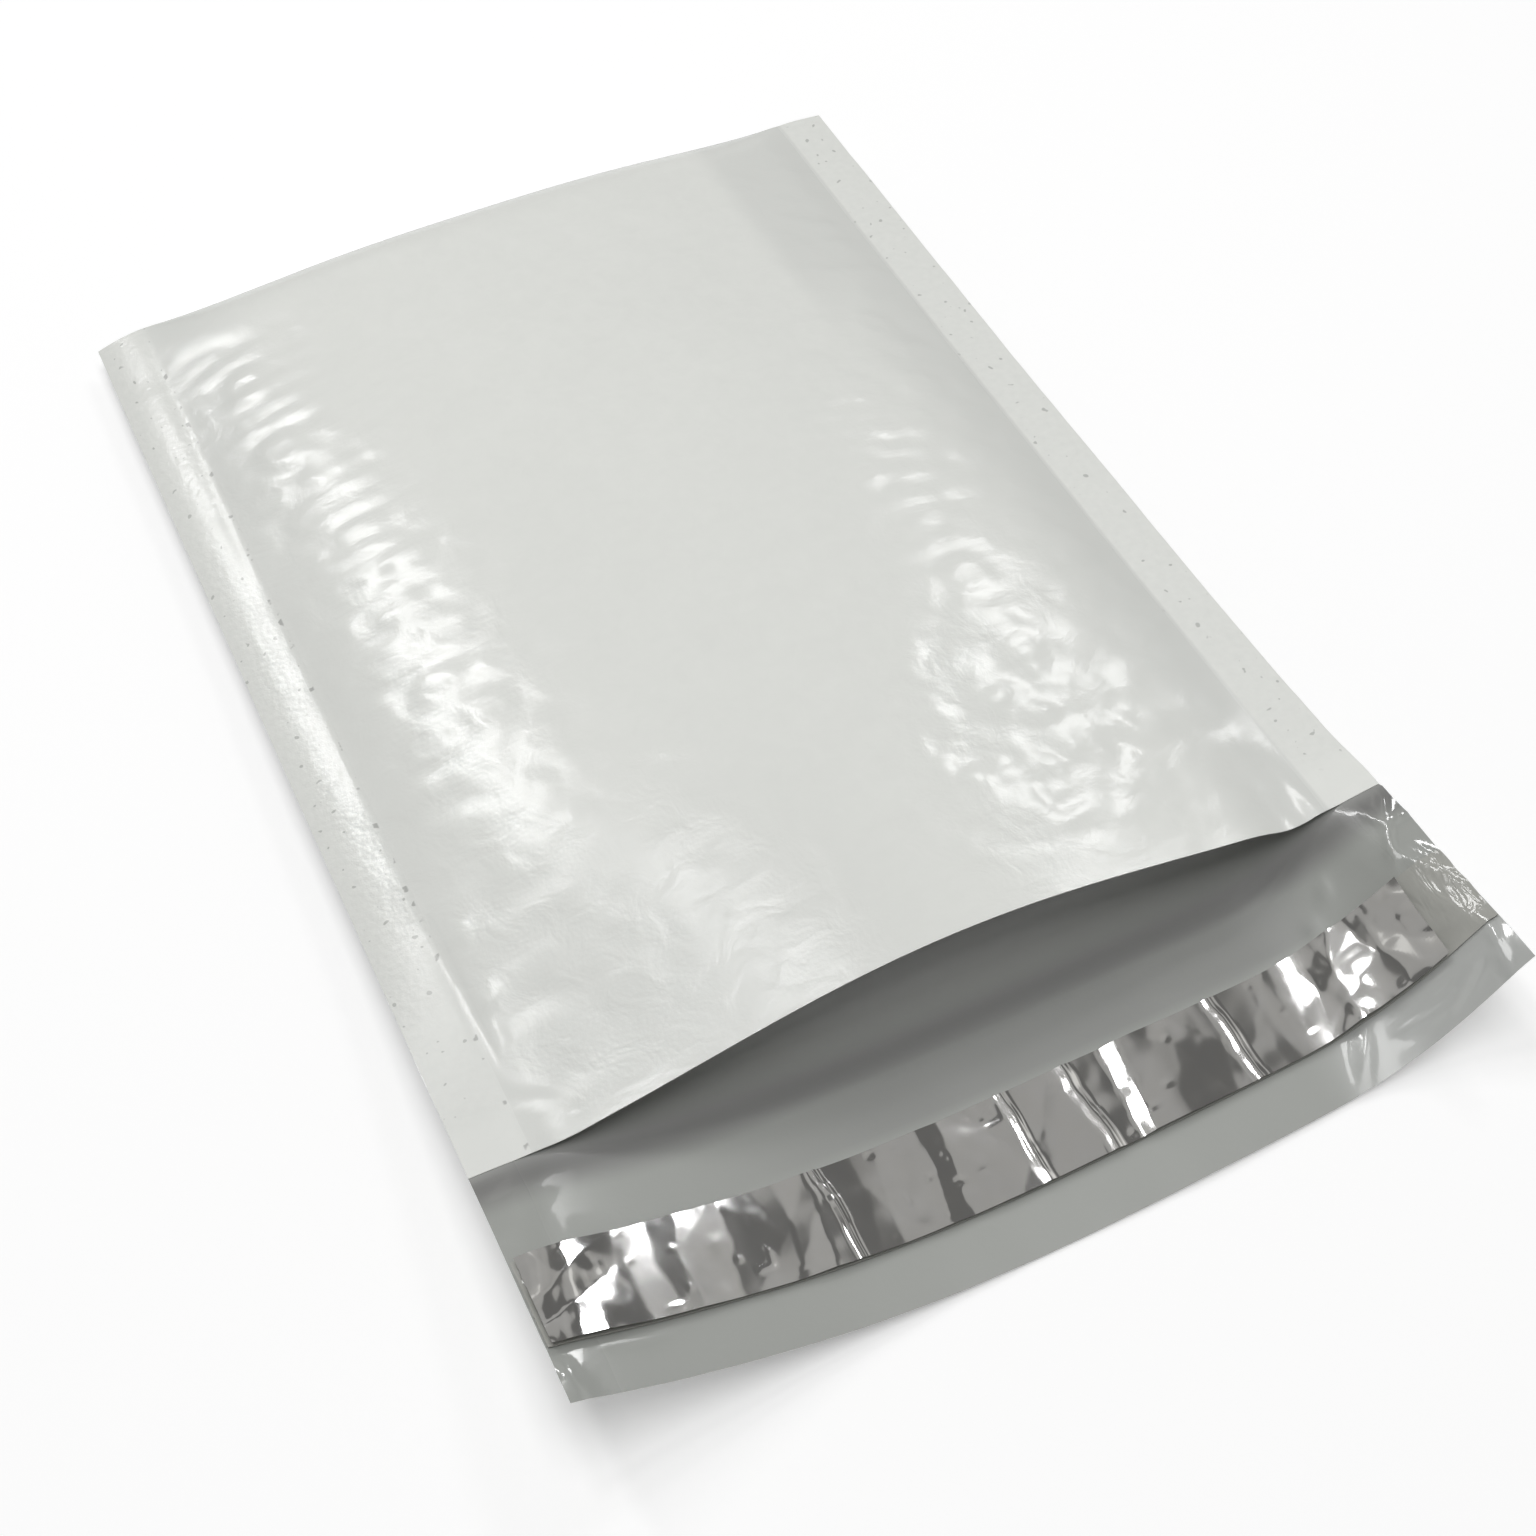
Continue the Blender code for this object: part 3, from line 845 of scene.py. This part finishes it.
# Each noise has its scale, its detail and, where it has one, its distortion
whiteFinish = {
    "white": (0.805, 0.815, 0.780, 1),
    "seamWhite": (0.80, 0.81, 0.775, 1),
    # The painted shade of the slopes, and how strongly it is mixed in
    "paintedSlopeShade": (0.65, 0.66, 0.635, 1),
    "paintedSlopeShare": 0.8,
    "mottleShade": (0.69, 0.70, 0.67, 1),
    "mottleNoise": (90, 3),
    "mottleShare": 0.25,
    "fineNoise": (300, 3, 0.6),
    "fineShare": 0.30,
    "grainShade": (0.45, 0.46, 0.44, 1),
    "grainNoise": (620, 3),
    "grainShare": 0.22,
    "speck": (0.30, 0.31, 0.29, 1),
    "speckNoise": (520, 1),
    "speckStops": [(0.70, 0.0), (0.73, 1.0)],
    "speckShare": 0.55,
    "mark": (0.26, 0.26, 0.25, 1),
    "markNoise": (330, 2),
    "markStops": [(0.60, 0.0), (0.64, 1.0)],
    "markLineStops": [(0.0, 0.0), (0.5, 1.0)],
    "markLineSharpness": 1900,
    "markShare": 0.6,
    "roughness": 0.17,
    "mottleRoughness": 0.08,
    "matteRoughness": 0.26,
}

# Relief too fine for the mesh: a noise, and its height as a share of the depth
whiteRelief = {
    "depth": 0.00005,
    "grain": ((1500, 2), 0.25),
    "emboss": ((700, 3), 1.4),
    "streaks": ((640, 2), 0.2),
    "streakStretch": (0.2, 1, 1),
    "shoulderStreaks": 0.6,
    "dimples": ((170, 3, 0.55), 2.6),
    "crumple": ((330, 3, 0.6), 1.6),
    "ringStops": [(0.0, 0.0), (0.30, 0.0), (0.48, 1.0), (0.66, 0.0)],
    "rings": 0.35,
}


def whiteFilm():
    finish = Finish("whiteFilm")
    place = finish.flatPlace()
    seam = finish.layer("seam")
    mottle = finish.noise(place, *whiteFinish["mottleNoise"])
    fine = finish.noise(place, *whiteFinish["fineNoise"]) * (1 - seam)
    mottling = mottle * whiteFinish["mottleShare"] + fine * whiteFinish["fineShare"]
    grain = seam * finish.noise(place, *whiteFinish["grainNoise"]) * whiteFinish["grainShare"]
    white = finish.mixColours(seam, whiteFinish["white"], whiteFinish["seamWhite"])
    # Painted shade on the slopes, where less light falls
    slope = finish.layer("slope") * whiteFinish["paintedSlopeShare"]
    shaded = finish.mixColours(slope, white, whiteFinish["paintedSlopeShade"])
    mottled = finish.mixColours(mottling, shaded, whiteFinish["mottleShade"])
    grained = finish.mixColours(grain, mottled, whiteFinish["grainShade"])
    # Dark specks on the seams, and marks along the left seam's inner line
    specks = finish.step(finish.noise(place, *whiteFinish["speckNoise"]), whiteFinish["speckStops"]) * seam
    line = 1 - finish.absolute(finish.across() + seamInner) * whiteFinish["markLineSharpness"]
    marks = finish.step(finish.noise(place, *whiteFinish["markNoise"]), whiteFinish["markStops"])
    marks = finish.step(line, whiteFinish["markLineStops"]) * marks
    speckled = finish.mixColours(specks * whiteFinish["speckShare"], grained, whiteFinish["speck"])
    colour = finish.mixColours(marks * whiteFinish["markShare"], speckled, whiteFinish["mark"])
    matte = whiteFinish["matteRoughness"] * finish.layer("matte")
    roughness = whiteFinish["roughness"] + whiteFinish["mottleRoughness"] * mottle + matte
    normal = finish.bump(whiteHeight(finish, place, seam), whiteRelief["depth"])
    return finish.surface({"Base Color": colour, "Roughness": roughness, "Normal": normal})


def whiteHeight(finish, place, seam):
    shoulder, crumple = finish.layer("shoulder"), finish.layer("crumple")

    def relief(name):
        noise, share = whiteRelief[name]
        return finish.noise(place, *noise) * share

    streakNoise, streakShare = whiteRelief["streaks"]
    streaks = finish.noise(finish.flatPlace(whiteRelief["streakStretch"]), *streakNoise)
    rings = finish.step(finish.layer("bubbleAway"), whiteRelief["ringStops"]) * shoulder * (1 - crumple)
    height = relief("grain") + relief("emboss") * seam
    height = height + streaks * (streakShare + shoulder * whiteRelief["shoulderStreaks"])
    height = height + relief("dimples") * (1 - seam) + relief("crumple") * crumple
    return height + rings * finish.layer("bubbleDepth") * whiteRelief["rings"]


greyFinish = {
    "grey": (0.36, 0.37, 0.35, 1),
    "mottleShade": (0.31, 0.32, 0.30, 1),
    "mottleNoise": (60, 3),
    "mottleShare": 0.3,
    # Colour of the painted sheen on the flap's right margin, and how strongly it is mixed in
    "sheen": (0.56, 0.57, 0.56, 1),
    "paintedSheenShare": 0.5,
    # Colour of the painted shadow under the lip
    "paintedLipShadow": (0.20, 0.20, 0.195, 1),
    # Colour of the painted light deep inside the pouch
    "deep": (0.86, 0.86, 0.85, 1),
    "roughness": 0.42,
    "glossRoughness": 0.12,
    "mottleRoughness": 0.06,
    "coat": 0.9,
    "coatRoughness": 0.06,
    "bumpNoise": (900, 2),
    "bumpDepth": 0.00002,
}


def greyFilm():
    finish = Finish("greyFilm")
    place = finish.flatPlace()
    mottle = finish.noise(place, *greyFinish["mottleNoise"])
    mottling, sheen = mottle * greyFinish["mottleShare"], finish.layer("sheen") * greyFinish["paintedSheenShare"]
    mottled = finish.mixColours(mottling, greyFinish["grey"], greyFinish["mottleShade"])
    # Painted sheen on the flap's right margin
    brighter = finish.mixColours(sheen, mottled, greyFinish["sheen"])
    # Painted shadow under the lip, and darker between the strip and the mouth
    darker = finish.mixColours(finish.layer("inside"), brighter, greyFinish["paintedLipShadow"])
    # Painted light deep inside the pouch, against the shade there
    colour = finish.mixColours(finish.layer("deep"), darker, greyFinish["deep"])
    gloss = finish.clamped(finish.layer("gloss"))
    glossDrop = greyFinish["roughness"] - greyFinish["glossRoughness"]
    roughness = greyFinish["roughness"] - glossDrop * gloss + greyFinish["mottleRoughness"] * mottle
    normal = finish.bump(finish.noise(place, *greyFinish["bumpNoise"]), greyFinish["bumpDepth"])
    sockets = {"Base Color": colour, "Roughness": roughness, "Normal": normal}
    sockets.update({"Coat Weight": gloss * greyFinish["coat"], "Coat Roughness": greyFinish["coatRoughness"]})
    return finish.surface(sockets)


# Bubble lining: one folded sheet of bubble film, bubbles out, smooth side in

lining = {
    "setback": 0.012,
    "sideGap": 0.002,
    "inset": 0.0008,
    "thickness": 0.0038,
    "bubbleHeight": 0.0033,
    "squeezedShare": 0.8,
    "domeShare": 0.82,
    "domeRadius": 0.0054,
    "domeRoundness": 3.2,
    "spacing": 0.0014,
    "clear": (0.86, 0.87, 0.86, 1),
    "haze": (0.78, 0.79, 0.78, 1),
    "hazeShare": 0.5,
    "hazeNoise": (120, 2),
    "roughness": 0.24,
    "coat": 0.3,
}


def liningThickness(x, s):
    room = halfThickness(x, s) - lining["inset"]
    return np.minimum(lining["thickness"], lining["squeezedShare"] * room)


def liningPoints(x, v, smoothSide):
    length = sheet["pouchLength"]
    onFront = v > length
    s = np.where(onFront, 2 * length - v, v)
    thickness = liningThickness(x, s)
    dome = clamp(1 - (nearestBubble(x, s)[0] / lining["domeRadius"]) ** lining["domeRoundness"])
    sunk = np.minimum(lining["bubbleHeight"], lining["domeShare"] * thickness) * (1 - dome)
    inset = lining["inset"] + np.where(smoothSide, thickness, sunk)
    return pouchPoint(x, s, np.where(onFront, 1, -1), inset)


def makeLining():
    reach = seamInner - lining["sideGap"]
    length = sheet["pouchLength"]
    columns = evenSteps(-reach, reach, lining["spacing"])
    rows = evenSteps(lining["setback"], 2 * length - lining["setback"], lining["spacing"])
    x, v = np.meshgrid(columns, rows)
    layers = []
    for name, smoothSide in (("bubbleLining", False), ("liningBack", True)):
        layer = newGrid(name, len(columns), len(rows))
        layOut(layer, liningPoints(x, v, smoothSide), np.stack([x, v], axis=-1), outwards=smoothSide)
        layers.append(layer)
    bubbleSide = joinLayers(layers)
    bubbleSide.data.materials.append(bubbleFilm())
    settle(bubbleSide, "bubble_lining")
    2 * reach


def joinLayers(layers):
    # Joins two grids that face away from each other and closes the gap between their borders
    bpy.ops.object.select_all(action="DESELECT")
    for layer in layers:
        layer.select_set(True)
    bpy.context.view_layer.objects.active = layers[0]
    bpy.ops.object.join()
    bpy.ops.object.mode_set(mode="EDIT")
    bpy.ops.mesh.select_mode(type="EDGE")
    bpy.ops.mesh.select_all(action="DESELECT")
    bpy.ops.mesh.select_non_manifold(extend=False, use_wire=False, use_boundary=True)
    bpy.ops.mesh.bridge_edge_loops()
    bpy.ops.object.mode_set(mode="OBJECT")
    return layers[0]


def bubbleFilm():
    finish = Finish("bubbleFilm")
    haze = finish.noise(finish.flatPlace(), *lining["hazeNoise"]) * lining["hazeShare"]
    colour = finish.mixColours(haze, lining["clear"], lining["haze"])
    sockets = {"Base Color": colour, "Roughness": lining["roughness"], "Coat Weight": lining["coat"]}
    return finish.surface(sockets)


# Adhesive strip across the flap

strip = {"start": 0.0167, "width": 0.0152}
adhesive = {
    "sideGap": 0.0003,
    "lift": 0.00020,
    "thickness": 0.00022,
    "spacing": 0.0009,
    "ridgeDepth": 0.00012,
    "ridge": {"depth": 0.5, "size": 0.0022, "seed": 51},
    "ridgeStretch": 0.3,
    "colour": (0.42, 0.42, 0.39, 1),
    "cloudColour": (0.34, 0.34, 0.315, 1),
    "cloudNoise": (260, 3),
    "ropeNoise": (420, 2, 0.8),
    "ropeStretch": (1, 0.35, 1),
    "bumpDepth": 0.00035,
}


def stripPoints(x, s, height):
    return flapPoint(x, s, flapUnevenness(x, s) + film["thickness"] + height)


def makeAdhesive():
    reach = halfWidth - adhesive["sideGap"]
    columns = evenSteps(-reach, reach, adhesive["spacing"])
    rows = evenSteps(strip["start"] + strip["width"], strip["start"], adhesive["spacing"])
    x, s = np.meshgrid(columns, rows)
    ridge = adhesive["ridgeDepth"] * (0.5 + uneven(x * adhesive["ridgeStretch"], s, adhesive["ridge"]))
    piece = newGrid("adhesiveStrip", len(columns), len(rows))
    layOut(piece, stripPoints(x, s, adhesive["lift"] + ridge), np.stack([x, -s], axis=-1), outwards=True)
    piece.data.materials.append(hotMelt())
    thicken(piece, adhesive["thickness"], 1)
    settle(piece, "adhesive_strip")


def hotMelt():
    finish = Finish("hotMelt")
    cloud = finish.noise(finish.flatPlace(), *adhesive["cloudNoise"])
    colour = finish.mixColours(cloud, adhesive["colour"], adhesive["cloudColour"])
    ropes = finish.noise(finish.flatPlace(adhesive["ropeStretch"]), *adhesive["ropeNoise"])
    normal = finish.bump(ropes, adhesive["bumpDepth"])
    return finish.surface({"Base Color": colour, "Roughness": 0.08 + 0.08 * cloud, "Normal": normal})


# Release liner: a silver strip whose film stands up in creases across it

liner = {
    "shortLeft": 0.001,
    "shortRight": 0.009,
    "lift": 0.00062,
    "thickness": 0.00010,
    "spacing": 0.00045,
    "creases": [
        {"turn": 8, "spacing": 0.0056, "height": 0.00060},
        {"turn": 40, "spacing": 0.0085, "height": 0.00034},
        {"turn": -35, "spacing": 0.0110, "height": 0.00034},
    ],
    "endCreases": [
        {"turn": 62, "spacing": 0.0052, "height": 0.00055},
        {"turn": -22, "spacing": 0.0044, "height": 0.00050},
    ],
    "rightEnd": (0.046, 0.058),
    "leftEnd": (-0.066, -0.074),
    "wander": {"depth": 0.0013, "size": 0.0075, "seed": 65},
    "fineWander": {"depth": 0.0004, "size": 0.0026, "seed": 66},
    "firstCreaseSeed": 71,
    "facetReach": 0.3,
    "facetUnrest": 0.35,
    "dimpleHeight": 0.00006,
    "dimple": {"depth": 1.0, "size": 0.0022, "seed": 64},
    "dimpleStart": 0.70,
    "foldPlaces": [(-0.0330, 0.0008), (-0.0005, 0.0010), (0.0115, 0.0014), (0.0390, 0.0012)],
    "foldHeight": 0.00032,
    "foldLean": 0.04,
    "foldWander": 0.6,
    "silver": (0.84, 0.84, 0.86, 1),
    "hazeSilver": (0.78, 0.77, 0.76, 1),
    "edgeGrey": (0.22, 0.22, 0.21, 1),
    "edgeRoughness": 0.6,
    "hazeNoise": (200, 2),
}


def facets(distance, spacing, seed):
    # Heights from 0 to 1 at random places about the given spacing apart, with straight lines between them
    chance = np.random.default_rng(seed)
    reach, unrest = liner["facetReach"], liner["facetUnrest"]
    count = int(2 * reach / spacing)
    places = -reach + (np.arange(count) + chance.uniform(-unrest, unrest, count)) * spacing
    return np.interp(distance, places, chance.uniform(0, 1, count))


def linerUnevenness(x, s):
    raised = 0.0
    nearEnd = span(x, *liner["rightEnd"]) + span(x, *liner["leftEnd"])
    wander = uneven(x, s, liner["wander"]) + uneven(x, s, liner["fineWander"])
    for number, crease in enumerate(liner["creases"] + liner["endCreases"]):
        turn = math.radians(crease["turn"])
        distance = x * math.cos(turn) + s * math.sin(turn) + wander
        share = nearEnd if crease in liner["endCreases"] else 1.0
        heights = facets(distance, crease["spacing"], liner["firstCreaseSeed"] + number)
        raised = raised + share * crease["height"] * heights
    leaning = x + liner["foldLean"] * (strip["start"] + strip["width"] / 2 - s) + liner["foldWander"] * wander
    for place, halfSpan in liner["foldPlaces"]:
        raised = raised + liner["foldHeight"] * clamp(1 - abs(leaning - place) / halfSpan)
    start = liner["dimpleStart"]
    dimples = np.maximum(0, uneven(x, s, liner["dimple"]) - start) / (1 - start)
    return raised + liner["dimpleHeight"] * dimples


def makeLiner():
    left, right = -halfWidth + liner["shortLeft"], halfWidth - liner["shortRight"]
    columns = evenSteps(left, right, liner["spacing"])
    rows = evenSteps(strip["start"] + strip["width"], strip["start"], liner["spacing"])
    x, s = np.meshgrid(columns, rows)
    piece = newGrid("releaseLiner", len(columns), len(rows))
    points = stripPoints(x, s, liner["lift"] + linerUnevenness(x, s))
    layOut(piece, points, np.stack([x, -s], axis=-1), outwards=True)
    piece.data.materials.append(silverFilm())
    piece.data.materials.append(dullEdge())
    thicken(piece, liner["thickness"], 1, rimSlot=1)
    settle(piece, "release_liner")
    right - left


def silverFilm():
    finish = Finish("silverFilm")
    haze = finish.noise(finish.flatPlace(), *liner["hazeNoise"])
    colour = finish.mixColours(haze, liner["silver"], liner["hazeSilver"])
    sockets = {"Base Color": colour, "Metallic": 1.0, "Roughness": 0.05 + 0.06 * haze}
    return finish.surface(sockets)


def dullEdge():
    finish = Finish("dullEdge")
    return finish.surface({"Base Color": liner["edgeGrey"], "Roughness": liner["edgeRoughness"]})


makeFilm()
print("outer film folded")
makeLining()
print("bubble lining folded in")
makeAdhesive()
makeLiner()
print("adhesive strip and release liner laid")
